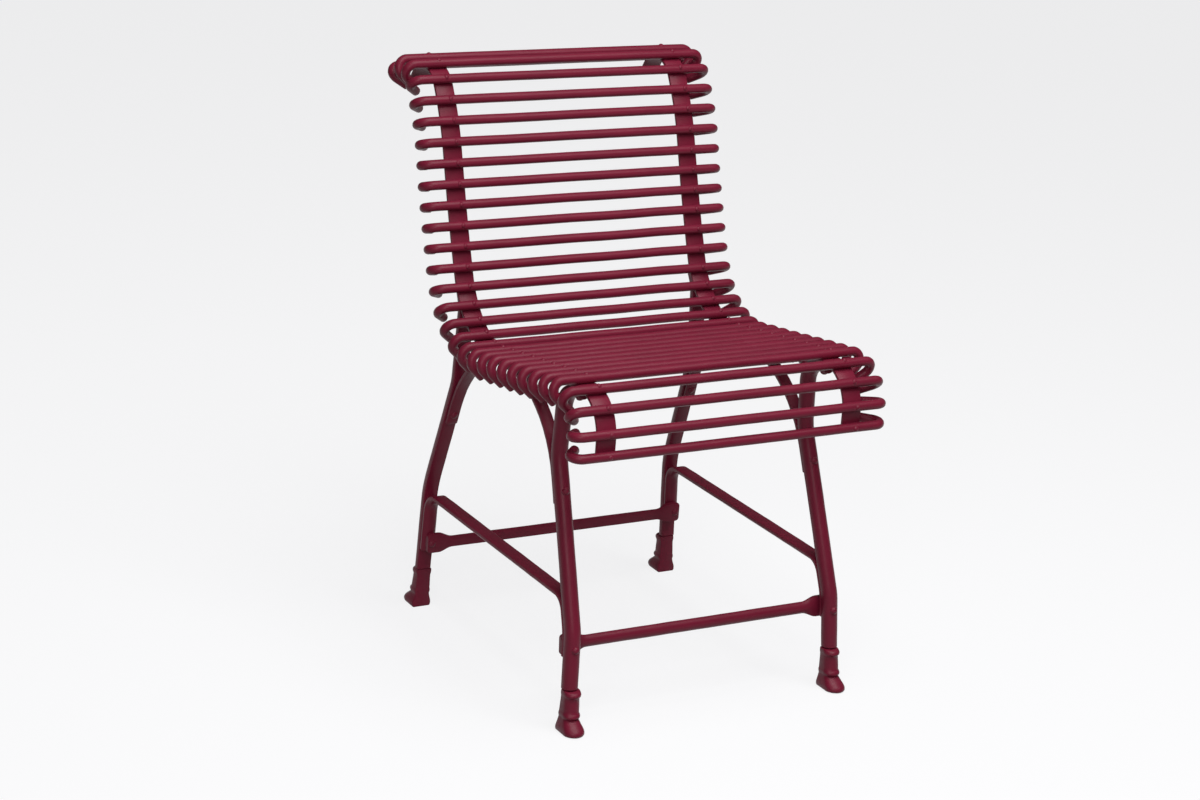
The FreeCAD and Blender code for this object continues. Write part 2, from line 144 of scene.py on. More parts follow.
def linear(colour: str) -> tuple[float, float, float, float]:
    """Turns an sRGB hex colour into linear values.

    Args:
        colour: A colour such as "#7a2539".

    Returns:
        Linear red, green and blue, and an alpha of one.
    """
    parts = [int(colour[i : i + 2], 16) / 255 for i in (1, 3, 5)]
    values = [c / 12.92 if c <= 0.04045 else ((c + 0.055) / 1.055) ** 2.4 for c in parts]
    return values[0], values[1], values[2], 1.0


class Side(Enum):
    """The two sides of the chair, as a viewer in front sees them."""

    LEFT = -1
    RIGHT = 1

    @property
    def word(self) -> str:
        """The side's name as the CAD nodes spell it."""
        return self.name.lower()


class Slot(Enum):
    """The record's material slots."""

    ROD = "rod_paint"
    BAR = "bar_paint"
    CAST = "cast_paint"
    RIVET = "rivet_paint"


@dataclass(frozen=True)
class WinePaint:
    """Semi-gloss wine red enamel over wrought or cast steel.

    Enamel follows the metal below it, so hammer marks and casting skin show as soft
    dents, and the sprayed film adds a fine peel that breaks the highlights up.
    """

    name: str
    colour: str = "#781b33"
    thin_colour: str = "#66172b"
    roughness: float = 0.40
    roughness_spread: float = 0.10
    dent_mm: float = 16.0
    dent_depth_mm: float = 0.22
    peel_mm: float = 1.8
    peel_depth_mm: float = 0.035
    patch_mm: float = 55.0
    ior: float = 1.5
    specular: float = 0.2

    def build(self) -> bpy.types.Material:
        """Makes the material, whose lumps and patches are a real distance apart.

        Returns:
            The new material.
        """
        material = blank_material(self.name)
        node = partial(add_node, material.node_tree)
        place = node("ShaderNodeTexCoord").outputs["Object"]
        patches, dents, peel = (
            node(
                "ShaderNodeTexNoise",
                {"Vector": place, "Scale": 1 / (spacing * MM), "Detail": detail},
            )
            for spacing, detail in ((self.patch_mm, 3.0), (self.dent_mm, 2.0), (self.peel_mm, 1.0))
        )
        colour = node(
            "ShaderNodeMix",
            {0: patches, 6: linear(self.thin_colour), 7: linear(self.colour)},
            data_type="RGBA",
        )
        spread = {
            "To Min": self.roughness - self.roughness_spread / 2,
            "To Max": self.roughness + self.roughness_spread / 2,
        }
        gloss = node(
            "ShaderNodeMapRange", {"Value": dents, "From Min": 0.3, "From Max": 0.7, **spread}
        )
        forged = node(
            "ShaderNodeBump",
            {"Strength": 1.0, "Distance": self.dent_depth_mm * MM, "Height": dents},
        )
        sprayed = node(
            "ShaderNodeBump",
            {
                "Strength": 1.0,
                "Distance": self.peel_depth_mm * MM,
                "Height": peel,
                "Normal": forged,
            },
        )
        shader = node(
            "ShaderNodeBsdfPrincipled",
            {
                "Base Color": colour.outputs[2],
                "Roughness": gloss,
                "Normal": sprayed,
                "IOR": self.ior,
                "Specular IOR Level": self.specular,
            },
        )
        node("ShaderNodeOutputMaterial", {"Surface": shader})
        return material


@dataclass(frozen=True)
class PaleFloor:
    """A seamless pale studio floor that shows white and keeps a faint shadow."""

    name: str = "pale_studio_paper"
    colour: str = "#fbfbfc"
    bounce_colour: str = "#68686c"
    shadow_share: float = 0.16

    def build(self) -> bpy.types.Material:
        """Makes the floor's material, which lights the chair no more than paper does.

        Returns:
            The new material.
        """
        material = blank_material(self.name)
        node = partial(add_node, material.node_tree)
        white = {"Color": linear(self.colour)}
        paper = node("ShaderNodeBsdfDiffuse", white)
        bounce = node("ShaderNodeBsdfDiffuse", {"Color": linear(self.bounce_colour)})
        shown = node("ShaderNodeEmission", white)
        soft = node("ShaderNodeMixShader", {0: self.shadow_share, 1: shown, 2: paper})
        path = node("ShaderNodeLightPath").outputs
        rays = {0: path["Is Camera Ray"], 1: path["Is Glossy Ray"]}
        seen = node(MATH, rays, operation="MAXIMUM")
        mixed = node("ShaderNodeMixShader", {0: seen, 1: bounce, 2: soft})
        node("ShaderNodeOutputMaterial", {"Surface": mixed})
        return material


@dataclass(frozen=True)
class Station:
    """A place on a bar's path in the side plane, in millimetres, and its heading."""

    point: Vector
    heading: float

    @property
    def along(self) -> Vector:
        """Unit vector along the path."""
        return at(math.cos(self.heading), math.sin(self.heading))

    @property
    def left(self) -> Vector:
        """Unit vector a quarter turn anticlockwise from the path."""
        return left_of(self.heading)

    def shifted(self, distance: float) -> "Station":
        """The station moved sideways, to the left of its path."""
        return Station(self.point + self.left * distance, self.heading)

    def swung(self, radius: float, turn: float) -> "Station":
        """The station after a bend.

        Args:
            radius: Radius of the bend, negative where it bends to the right.
            turn: Angle of the bend in radians, negative to the right.

        Returns:
            The place and heading after it.
        """
        heading = self.heading + turn
        centre = self.point + self.left * radius
        return Station(centre - left_of(heading) * radius, heading)


@dataclass(frozen=True)
class StrapLine:
    """Middle line of a strap, from the front drop to the rolled top."""

    start_y: float = -230.2
    start_z: float = 374.0
    end_margin: float = 5.0
    front_drop: float = 18.6
    front_radius: float = 52.2
    seat_fall: float = 8.1
    seat_length: float = 219.6
    hip_radius: float = 118.5
    back_start: float = 68.6
    back_length: float = 158.7
    back_end: float = 73.8
    top_radius: float = 355.0
    top_end: float = 57.8
    scroll_radius: float = 41.5
    scroll_turn: float = 124.0

    def stretches(self) -> list[tuple[float, float]]:
        """Lengths of the stretches and how far each one turns, in radians."""
        front = math.radians(-self.seat_fall - 90)
        hip = math.radians(self.back_start + self.seat_fall)
        top = math.radians(self.top_end - self.back_end)
        scroll = math.radians(self.scroll_turn)
        hollow = math.radians(self.back_end - self.back_start)
        return [
            (self.end_margin + self.front_drop, 0.0),
            (-self.front_radius * front, front),
            (self.seat_length, 0.0),
            (self.hip_radius * hip, hip),
            (self.back_length, hollow),
            (-self.top_radius * top, top),
            (self.scroll_radius * scroll, -scroll),
        ]

    @property
    def length(self) -> float:
        """Length from the first rod to the strap's last point."""
        return sum(length for length, _ in self.stretches()) - self.end_margin

    def place(self, distance: float) -> Station:
        """The strap's middle at a distance from the first rod.

        Args:
            distance: Length along the strap from the first rod.

        Returns:
            The place and heading there.
        """
        here = Station(at(self.start_y, self.start_z - self.end_margin), math.pi / 2)
        left = distance + self.end_margin
        *stretches, (last_length, last_turn) = self.stretches()
        for length, turn in stretches:
            if left <= length:
                return self._ahead(here, left, turn * left / length)
            here = self._ahead(here, length, turn)
            left -= length
        return self._ahead(here, left, last_turn * left / last_length)

    @staticmethod
    def _ahead(here: Station, length: float, turn: float) -> Station:
        """The station after a stretch of some length that turns by some angle."""
        if abs(turn) < 1e-9:
            return Station(here.point + here.along * length, here.heading)
        return here.swung(length / turn, turn)

    def stations(self, step: float) -> list[Station]:
        """Evenly spaced stations from end to end of the strap."""
        span = self.length + self.end_margin
        count = round(span / step)
        return [self.place(-self.end_margin + span * i / count) for i in range(count + 1)]


@dataclass(frozen=True)
class Corner:
    """A corner of a bent bar's path, with the radius it is bent to."""

    point: Vector
    radius: float = 0.0


@dataclass(frozen=True)
class BentLine:
    """The path of a bent bar through corners that are rounded to their radii."""

    corners: tuple[Corner, ...]

    def points(self, count: int) -> list[Vector]:
        """The first corners' places."""
        return [corner.point for corner in self.corners[:count]]

    def stations(self, step: float) -> list[Station]:
        """Stations along the path, closer together in the bends.

        Args:
            step: Longest distance between stations on a straight run.

        Returns:
            Stations from the path's start to its end.
        """
        stations: list[Station] = []
        last = self.corners[0].point
        for back, corner, ahead in zip(self.corners, self.corners[1:], self.corners[2:]):
            before = (corner.point - back.point).normalized()
            after = (ahead.point - corner.point).normalized()
            heading = math.atan2(before.z, before.y)
            turn = math.atan2(after.z, after.y) - heading
            turn = (turn + math.pi) % (2 * math.pi) - math.pi
            reach = corner.radius * math.tan(abs(turn) / 2)
            here = Station(corner.point - before * reach, heading)
            stations += self._run(last, here.point, heading, step, False)
            steps = max(FEWEST_BEND_STEPS, math.ceil(abs(turn) / BEND_STEP))
            radius = math.copysign(corner.radius, turn)
            stations.append(here)
            stations += [here.swung(radius, turn * part / steps) for part in range(1, steps)]
            last = corner.point + after * reach
        end = self.corners[-1].point
        way = (end - self.corners[-2].point).normalized()
        return stations + self._run(last, end, math.atan2(way.z, way.y), step, True)

    @staticmethod
    def _run(
        start: Vector, end: Vector, heading: float, step: float, closed: bool
    ) -> list[Station]:
        """Stations on a straight run, with its end only where the path ends."""
        count = max(1, math.ceil((end - start).length / step))
        return [Station(start.lerp(end, i / count), heading) for i in range(count + closed)]


@dataclass
class Shape:
    """A mesh in the making, in millimetres in the side plane's own frame."""

    points: list[Vector] = field(default_factory=list)
    faces: list[list[int]] = field(default_factory=list)

    @classmethod
    def skinned(cls, rings: Sequence[Sequence[Vector]]) -> "Shape":
        """Makes a shape of one closed skin over rings of equal length."""
        shape = cls()
        shape.add_rings(rings)
        return shape

    def add_rings(self, rings: Sequence[Sequence[Vector]]) -> None:
        """Adds a closed skin over rings of equal length, with a flat cap at each end.

        Args:
            rings: Rings of points, in order along the piece.
        """
        first = len(self.points)
        size = len(rings[0])
        for ring in rings:
            self.points += list(ring)
        for row in range(len(rings) - 1):
            for i in range(size):
                j = (i + 1) % size
                low, high = first + row * size, first + (row + 1) * size
                self.faces.append([low + i, low + j, high + j, high + i])
        top = first + (len(rings) - 1) * size
        self.faces.append([first + i for i in range(size)])
        self.faces.append([top + i for i in range(size)])

    def worked(self, depth: float, spacing: float) -> "Shape":
        """Gives the surface the slight waver that hammer and file leave.

        Args:
            depth: Largest movement of a point.
            spacing: Distance between the marks.

        Returns:
            This shape.
        """
        for point in self.points:
            point += noise.noise_vector(point / spacing) * depth
        return self

    def leaned(self, side: Side, frame: "SideFrame") -> "Shape":
        """Stands the side plane shape on one side of the chair."""
        for point in self.points:
            point.x += side.value * frame.lean_x(point.z)
        return self

    def moved(self, offset: Vector) -> "Shape":
        """Moves every point by an offset."""
        for point in self.points:
            point += offset
        return self

    def mesh(self, name: str, shift_y: float, crease: float = BAR_CREASE) -> bpy.types.Mesh:
        """Makes a Blender mesh in metres with its faces outwards.

        Args:
            name: The mesh's name.
            shift_y: Movement from the side plane's frame to the chair's frame.
            crease: Angle in degrees from which an edge stays sharp.

        Returns:
            The new mesh.
        """
        mesh = bpy.data.meshes.new(name)
        scaled = [(p.x * MM, (p.y + shift_y) * MM, p.z * MM) for p in self.points]
        mesh.from_pydata(scaled, [], self.faces)
        build = bmesh.new()
        build.from_mesh(mesh)
        bmesh.ops.recalc_face_normals(build, faces=build.faces)
        bmesh.ops.triangulate(build, faces=[f for f in build.faces if len(f.verts) > 4])
        build.to_mesh(mesh)
        build.free()
        smooth(mesh, crease)
        mesh.update()
        return mesh


def half_round(width: float, depth: float, edge: float, ease: float) -> Outline:
    """Outline of a half-round bar with its sharp arrises eased.

    Args:
        width: Width of the flat face.
        depth: Height of the crown over the flat face.
        edge: Height of the straight sides.
        ease: Radius of the eased arrises.

    Returns:
        Points across and out from the flat face's middle.
    """
    half = width / 2
    rise = depth - edge
    radius = (half * half + rise * rise) / (2 * rise)
    reach = math.asin(min(1.0, half / radius))
    if rise > half:
        reach = math.pi - reach
    crown = [
        (radius * math.sin(angle), depth - radius + radius * math.cos(angle))
        for angle in (reach * k / CROWN_STEPS for k in range(CROWN_STEPS, -CROWN_STEPS - 1, -1))
    ]
    third = ARRIS_SHARE * ease
    foot_right = [(half - ease, 0.0), (half - third, third), (half, ease)]
    foot_left = [(-x, y) for x, y in reversed(foot_right)]
    return foot_right + crown + foot_left


def flat_bar(width: float, low: float, high: float, ease: float) -> Outline:
    """Outline of a flat bar between two heights, with eased arrises.

    Args:
        width: Width of the bar.
        low: Height of its lower face.
        high: Height of its upper face.
        ease: Size of the eased arrises.

    Returns:
        Points across and out from the path.
    """
    half = width / 2
    third = ARRIS_SHARE * ease
    corner = [(half - ease, low), (half - third, low + third), (half, low + ease)]
    upper = [(half, high - ease), (half - third, high - third), (half - ease, high)]
    right = corner + upper
    return right + [(-x, y) for x, y in reversed(right)]


def swept(
    stations: Sequence[Station],
    outline: Outline,
    out_side: int,
    ease: float = 1.0,
    middle: float = 0.0,
) -> Shape:
    """Sweeps an outline along a path in the side plane, with eased ends.

    Args:
        stations: The path.
        outline: Points across and out from the path.
        out_side: 1 where out is to the left of the path, -1 where it is to the right.
        ease: How far from its ends the bar begins to round off.
        middle: Height over the path towards which the ends round off.

    Returns:
        The closed shape.
    """
    first, last = stations[0], stations[-1]
    inner = [
        station
        for station in stations
        if min((station.point - end.point).length for end in (first, last)) > END_CLEAR * ease
    ]
    tip = 1 - ease / END_TAPER
    path = [(first, tip), (Station(first.point + first.along * ease, first.heading), 1.0)]
    path += [(station, 1.0) for station in inner]
    path += [(Station(last.point - last.along * ease, last.heading), 1.0), (last, tip)]
    rings = []
    for station, scale in path:
        out = station.left * out_side
        ring = []
        for across, height in outline:
            rise = middle + (height - middle) * scale
            ring.append(station.point + Vector((across * scale, 0, 0)) + out * rise)
        rings.append(ring)
    return Shape.skinned(rings)


def domed(shape: Shape, base: Vector, axis: Vector, radius: float, height: float) -> None:
    """Adds a low rivet head to a shape.

    Args:
        shape: The shape that gets the head.
        base: Middle of the head's flat underside.
        axis: Unit vector out of the surface.
        radius: Radius of the head.
        height: Height of the head.
    """
    across = axis.orthogonal().normalized()
    other = axis.cross(across)
    rings = []
    for lift, share in HEAD_PROFILE:
        ring = []
        for k in range(HEAD_SIDES):
            angle = 2 * math.pi * k / HEAD_SIDES
            spoke = across * math.cos(angle) + other * math.sin(angle)
            ring.append(base + axis * (lift * height) + spoke * (share * radius))
        rings.append(ring)
    shape.add_rings(rings)


def meeting(first: Vector, second: Vector, third: Vector, fourth: Vector) -> Vector:
    """Where the line through two points meets the line through two others."""
    way, other, gap = second - first, fourth - third, third - first
    share = (gap.y * other.z - gap.z * other.y) / (way.y * other.z - way.z * other.y)
    return first + way * share


def at_height(low: Vector, high: Vector, z: float) -> Vector:
    """Point at a height on the line through two points."""
    return low.lerp(high, (z - low.z) / (high.z - low.z))


@dataclass(frozen=True)
class RodRun:
    """A run of evenly spaced rods along the straps."""

    name: str
    count: int
    pitch: float
    first: float


@dataclass(frozen=True)
class SideFrame:
    """Sizes and paths of the bars in the two leaning side planes."""

    strap: StrapLine = StrapLine()
    strap_spacing: float = 361.5
    strap_width: float = 27.0
    strap_thickness: float = 5.0
    rod_diameter: float = 12.7
    splay: float = 0.0412
    leg_width: float = 20.5
    leg_depth: float = 16.0
    leg_edge: float = 5.0
    leg_top_radius: float = 38.0
    knee_radius: float = 80.0
    foot_height: float = 55.0
    front_ankle_y: float = -207.2
    front_shin_y: float = -200.3
    front_shin_z: float = 127.0
    front_shin_radius: float = 60.0
    front_knee_y: float = -119.0
    front_knee_z: float = 338.0
    front_tip_margin: float = 12.0
    rear_ankle_y: float = 214.5
    rear_shin_z: float = 174.0
    rear_shin_radius: float = 120.0
    rear_knee_y: float = 158.5
    rear_knee_z: float = 343.0
    rear_top_radius: float = 45.0
    rear_tip_margin: float = 9.0
    arch_width: float = 16.5
    arch_thickness: float = 6.0
    front_arch_radius: float = 160.0
    rear_arch_radius: float = 146.0
    front_arch_foot_z: float = 279.0
    rear_arch_foot_z: float = 283.0
    arch_rivet_up: float = 14.0
    side_bar_width: float = 20.0
    side_bar_depth: float = 9.5
    side_bar_edge: float = 4.0
    side_bar_top_z: float = 171.5
    side_bar_radius: float = 28.0
    front_tail_z: float = 95.5
    rear_tail_z: float = 86.0
    cross_bar_height: float = 16.0
    cross_bar_depth: float = 7.5
    cross_bar_edge: float = 2.5
    front_bar_z: float = 107.5
    rear_bar_z: float = 99.0
    palm_height: float = 28.0
    palm_beyond: float = 6.5
    palm_width: float = 17.0
    palm_neck: float = 20.0
    runs: tuple[RodRun, ...] = (
        RodRun("front_rod", 4, 26.7, 0.0),
        RodRun("seat_rod", 10, 28.1, 106.8),
        RodRun("back_rod", 13, 27.8, 387.5),
        RodRun("top_rod", 4, 23.5, 748.9),
    )
    rear_leg_rod: int = 4

    @property
    def front_rivet_distance(self) -> float:
        """Where along the strap the front leg is riveted on."""
        seat = self.runs[1]
        return seat.first + seat.pitch / 2

    @property
    def arch_rivet_distance(self) -> float:
        """Where along the strap the arch is riveted on."""
        seat = self.runs[1]
        return seat.first + seat.pitch * 7.5

    @property
    def rear_rod_distance(self) -> float:
        """Where along the strap the rod's rivet holds the rear leg."""
        back = self.runs[2]
        return back.first + back.pitch * (self.rear_leg_rod - 1)

    def lean_x(self, z: float) -> float:
        """Distance of the leaning side plane from the chair's middle at a height."""
        top = self.strap.place(self.front_rivet_distance).point.z
        return self.strap_spacing / 2 + self.splay * (top - z)

    def seat_underside(self, y: float) -> Vector:
        """Point on the seat stretch's underside at a place in the side plane."""
        under = self.strap.place(self.front_rivet_distance).shifted(-self.strap_thickness / 2)
        fall = math.tan(math.radians(self.strap.seat_fall))
        return at(y, under.point.z - fall * (y - under.point.y))

    def behind_strap(self, beyond: float) -> Vector:
        """Point on the line that touches the strap behind the rear leg's rod."""
        here = self.strap.place(self.rear_rod_distance)
        return here.shifted(-self.strap_thickness / 2).point + here.along * beyond

    def front_leg(self) -> BentLine:
        """Path of the front leg's flat face, from the ankle to the tip."""
        tip = self.strap.place(self.front_rivet_distance - self.front_tip_margin).point
        return BentLine((
            Corner(at(self.front_ankle_y, self.foot_height)),
            Corner(at(self.front_shin_y, self.front_shin_z), self.front_shin_radius),
            Corner(at(self.front_knee_y, self.front_knee_z), self.knee_radius),
            Corner(self.seat_underside(self.front_knee_y), self.leg_top_radius),
            Corner(self.seat_underside(tip.y)),
        ))

    def rear_leg(self) -> BentLine:
        """Path of the rear leg's flat face, from the ankle to the tip."""
        knee = at(self.rear_knee_y, self.rear_knee_z)
        top = meeting(knee, knee + UP, self.behind_strap(0.0), self.behind_strap(1.0))
        return BentLine((
            Corner(at(self.rear_ankle_y, self.foot_height)),
            Corner(at(self.rear_ankle_y, self.rear_shin_z), self.rear_shin_radius),
            Corner(knee, self.knee_radius),
            Corner(top, self.rear_top_radius),
            Corner(self.behind_strap(self.rear_tip_margin)),
        ))

    def arch(self) -> BentLine:
        """Path of the arch's outer face, from the front leg to the rear leg."""
        _, *front_shank = self.front_leg().points(3)
        _, *rear_shank = self.rear_leg().points(3)
        crown = (self.seat_underside(0.0), self.seat_underside(1.0))
        return BentLine((
            Corner(at_height(*front_shank, self.front_arch_foot_z)),
            Corner(meeting(*front_shank, *crown), self.front_arch_radius),
            Corner(meeting(*rear_shank, *crown), self.rear_arch_radius),
            Corner(at_height(*rear_shank, self.rear_arch_foot_z)),
        ))

    def side_bar(self) -> BentLine:
        """Path of the side stretcher's outer face, with both tails."""
        ankle, shin, knee = self.front_leg().points(3)
        rear = self.rear_leg().points(2)
        return BentLine((
            Corner(at_height(ankle, shin, self.front_tail_z)),
            Corner(shin, self.front_shin_radius),
            Corner(at_height(shin, knee, self.side_bar_top_z), self.side_bar_radius),
            Corner(at_height(*rear, self.side_bar_top_z), self.side_bar_radius),
            Corner(at_height(*rear, self.rear_tail_z)),
        ))

    def joint(self, front: bool, low: bool) -> Station:
        """Station on a leg's flat face at a riveted joint, heading up the leg.

        Args:
            front: True on the front leg.
            low: True at the cross stretcher, False at the arch's foot.

        Returns:
            The joint's station.
        """
        corners = (self.front_leg() if front else self.rear_leg()).points(3)
        if low:
            start, end = corners[:2]
            z = self.front_bar_z if front else self.rear_bar_z
        else:
            start, end = corners[1:]
            z = (self.front_arch_foot_z if front else self.rear_arch_foot_z) + self.arch_rivet_up
        way = end - start
        return Station(at_height(start, end, z), math.atan2(way.z, way.y))


@dataclass
class Workshop:
    """What every sub-assembly needs: the shared paths, the finishes and the shift."""

    frame: SideFrame
    paints: dict[Slot, bpy.types.Material]
    shift_y: float

    def finish(
        self, shape: Shape, name: str, slot: Slot, nodes: Sequence[str], crease: float = BAR_CREASE
    ) -> bpy.types.Object:
        """Turns a shape into a dressed piece that stands for its CAD nodes.

        Args:
            shape: The shape in the side plane's frame.
            name: The piece's name.
            slot: The material slot that it takes its finish from.
            nodes: The CAD nodes that it replaces.
            crease: Angle in degrees from which an edge stays sharp.

        Returns:
            The new piece.
        """
        return self.dress(shape.mesh(name, self.shift_y, crease), name, slot, nodes)

    def dress(
        self, mesh: bpy.types.Mesh, name: str, slot: Slot, nodes: Sequence[str]
    ) -> bpy.types.Object:
        """Makes a piece of a finished mesh and hands it to the frame.

        Args:
            mesh: The mesh in the chair's frame.
            name: The piece's name.
            slot: The material slot that it takes its finish from.
            nodes: The CAD nodes that it replaces.

        Returns:
            The new piece.
        """
        mesh.materials.clear()
        mesh.materials.append(self.paints[slot])
        piece = linked(name, mesh)
        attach(piece, BODY)
        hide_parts(*nodes)
        LOG.info("%s: %d faces", name, len(mesh.polygons))
        return piece


@dataclass(frozen=True)
class AlongStrapTree:
    """A node tree that sets a piece along a strap's middle line at an even pitch."""

    name: str = "set_along_strap"
    swells_per_metre: float = 9.0

    def build(self) -> bpy.types.NodeTree:
        """Makes the tree with its named inputs.

        Returns:
            The new geometry node tree.
        """
        tree = bpy.data.node_groups.new(self.name, "GeometryNodeTree")
        for label, kind, value in (
            ("Strap Line", "NodeSocketGeometry", None),
            ("Piece", "NodeSocketObject", None),
            ("Count", "NodeSocketInt", 4),
            ("First Distance", "NodeSocketFloat", 0.0),
            ("Pitch", "NodeSocketFloat", 0.028),
            ("Lift", "NodeSocketFloat", 0.0085),
            ("Sideways", "NodeSocketFloat", 0.0),
            ("Tilt Spread", "NodeSocketFloat", 0.0),
            ("Slide Spread", "NodeSocketFloat", 0.0),
            ("Waver", "NodeSocketFloat", 0.0),
            ("Seed", "NodeSocketInt", 7),
            ("Paint", "NodeSocketMaterial", None),
        ):
            socket = tree.interface.new_socket(name=label, in_out="INPUT", socket_type=kind)
            if value is not None:
                socket.default_value = value
        tree.interface.new_socket(name="Set", in_out="OUTPUT", socket_type="NodeSocketGeometry")
        node = partial(add_node, tree)
        given = node("NodeGroupInput").outputs
        index = node("GeometryNodeInputIndex")
        reach = node(MATH, {0: index, 1: given["Pitch"]}, operation="MULTIPLY")
        distance = node(MATH, {0: reach, 1: given["First Distance"]}, operation="ADD")
        sample = node(
            "GeometryNodeSampleCurve",
            {"Curves": given["Strap Line"], "Length": distance},
            mode="LENGTH",
        ).outputs
        cross = {0: (1.0, 0.0, 0.0), 1: sample["Tangent"]}
        rise = node(VECTOR, cross, operation="CROSS_PRODUCT")
        lifted = node(VECTOR, {0: rise, "Scale": given["Lift"]}, operation="SCALE")
        next_seed = node(MATH, {0: given["Seed"], 1: 1.0}, operation="ADD").outputs[0]
        slide, tilt = (
            node(
                "FunctionNodeRandomValue",
                {
                    2: node(MATH, {0: given[spread], 1: -1.0}, operation="MULTIPLY"),
                    3: given[spread],
                    "ID": index,
                    "Seed": seed,
                },
                data_type="FLOAT",
            ).outputs[1]
            for spread, seed in (("Slide Spread", given["Seed"]), ("Tilt Spread", next_seed))
        )
        sideways = node(MATH, {0: given["Sideways"], 1: slide}, operation="ADD")
        across = node("ShaderNodeCombineXYZ", {"X": sideways})
        offset = node(VECTOR, {0: lifted, 1: across}, operation="ADD")
        place = node(VECTOR, {0: sample["Position"], 1: offset}, operation="ADD")
        points = node("GeometryNodePoints", {"Count": given["Count"], "Position": place})
        parts = node("ShaderNodeSeparateXYZ", {0: sample["Tangent"]}).outputs
        heading = node(MATH, {0: parts["Z"], 1: parts["Y"]}, operation="ARCTAN2")
        turned = node(MATH, {0: heading, 1: tilt}, operation="ADD")
        angles = node("ShaderNodeCombineXYZ", {"X": turned})
        turn = node("FunctionNodeEulerToRotation", {0: angles})
        # The points carry their own turn, because the sample is read by their index.
        kept = node(
            "GeometryNodeStoreNamedAttribute",
            {"Geometry": points, "Name": "turn", "Value": turn},
            data_type="QUATERNION",
            domain="POINT",
        )
        read = node("GeometryNodeInputNamedAttribute", {"Name": "turn"}, data_type="QUATERNION")
        piece = node("GeometryNodeObjectInfo", {"Object": given["Piece"]}).outputs["Geometry"]
        placed = node(
            "GeometryNodeInstanceOnPoints", {"Points": kept, "Instance": piece, "Rotation": read}
        )
        real = node("GeometryNodeRealizeInstances", {0: placed})
        swells = {"Scale": self.swells_per_metre, "Detail": 0.0}
        swell = node("ShaderNodeTexNoise", swells, noise_dimensions="3D").outputs["Color"]
        centred = node(VECTOR, {0: swell, 1: (0.5, 0.5, 0.5)}, operation="SUBTRACT")
        waver = node(VECTOR, {0: centred, "Scale": given["Waver"]}, operation="SCALE")
        worked = node("GeometryNodeSetPosition", {"Geometry": real, "Offset": waver})
        painted = node("GeometryNodeSetMaterial", {"Geometry": worked, "Material": given["Paint"]})
        node("NodeGroupOutput", {0: painted})
        return tree


@dataclass
class StrapRunner:
    """Runs the node tree over a strap's middle line and keeps plain meshes."""

    shop: Workshop
    tree: bpy.types.NodeTree
    step: float = 1.5

    def line(self) -> bpy.types.Object:
        """Makes the strap's middle line as a curve in the chair's frame.

        Returns:
            The curve object, whose length starts at the strap's front end.
        """
        curve = bpy.data.curves.new("strap_line", "CURVE")
        curve.dimensions = "3D"
        spline = curve.splines.new("POLY")
        stations = self.shop.frame.strap.stations(self.step)
        spline.points.add(len(stations) - 1)
        for point, station in zip(spline.points, stations):
            place = station.point
            point.co = (0.0, (place.y + self.shop.shift_y) * MM, place.z * MM, 1.0)
        return linked("strap_line", curve)

    def run(
        self, name: str, run: RodRun, piece: bpy.types.Object, values: dict[str, Any]
    ) -> bpy.types.Mesh:
        """Sets a piece at every rod of a run and returns the result as a plain mesh.

        Args:
            name: Name for the mesh.
            run: The run of rods.
            piece: The object to repeat, made round the origin.
            values: More values of the tree's named inputs.

        Returns:
            The realised mesh.
        """
        frame = self.shop.frame
        values = {
            "Piece": piece,
            "Count": run.count,
            "First Distance": (frame.strap.end_margin + run.first) * MM,
            "Pitch": run.pitch * MM,
            "Lift": (frame.rod_diameter + frame.strap_thickness) / 2 * MM,
            **values,
        }
        line = self.line()
        modifier = line.modifiers.new("run", "NODES")
        modifier.node_group = self.tree
        for item in self.tree.interface.items_tree:
            if item.item_type == "SOCKET" and item.in_out == "INPUT" and item.name in values:
                modifier[item.identifier] = values[item.name]
        graph = bpy.context.evaluated_depsgraph_get()
        graph.update()
        mesh = bpy.data.meshes.new_from_object(line.evaluated_get(graph))
        line.modifiers.remove(modifier)
        bpy.data.objects.remove(line)
        if "turn" in mesh.attributes:
            mesh.attributes.remove(mesh.attributes["turn"])
        mesh.name = name
        smooth(mesh, BAR_CREASE)
        return mesh


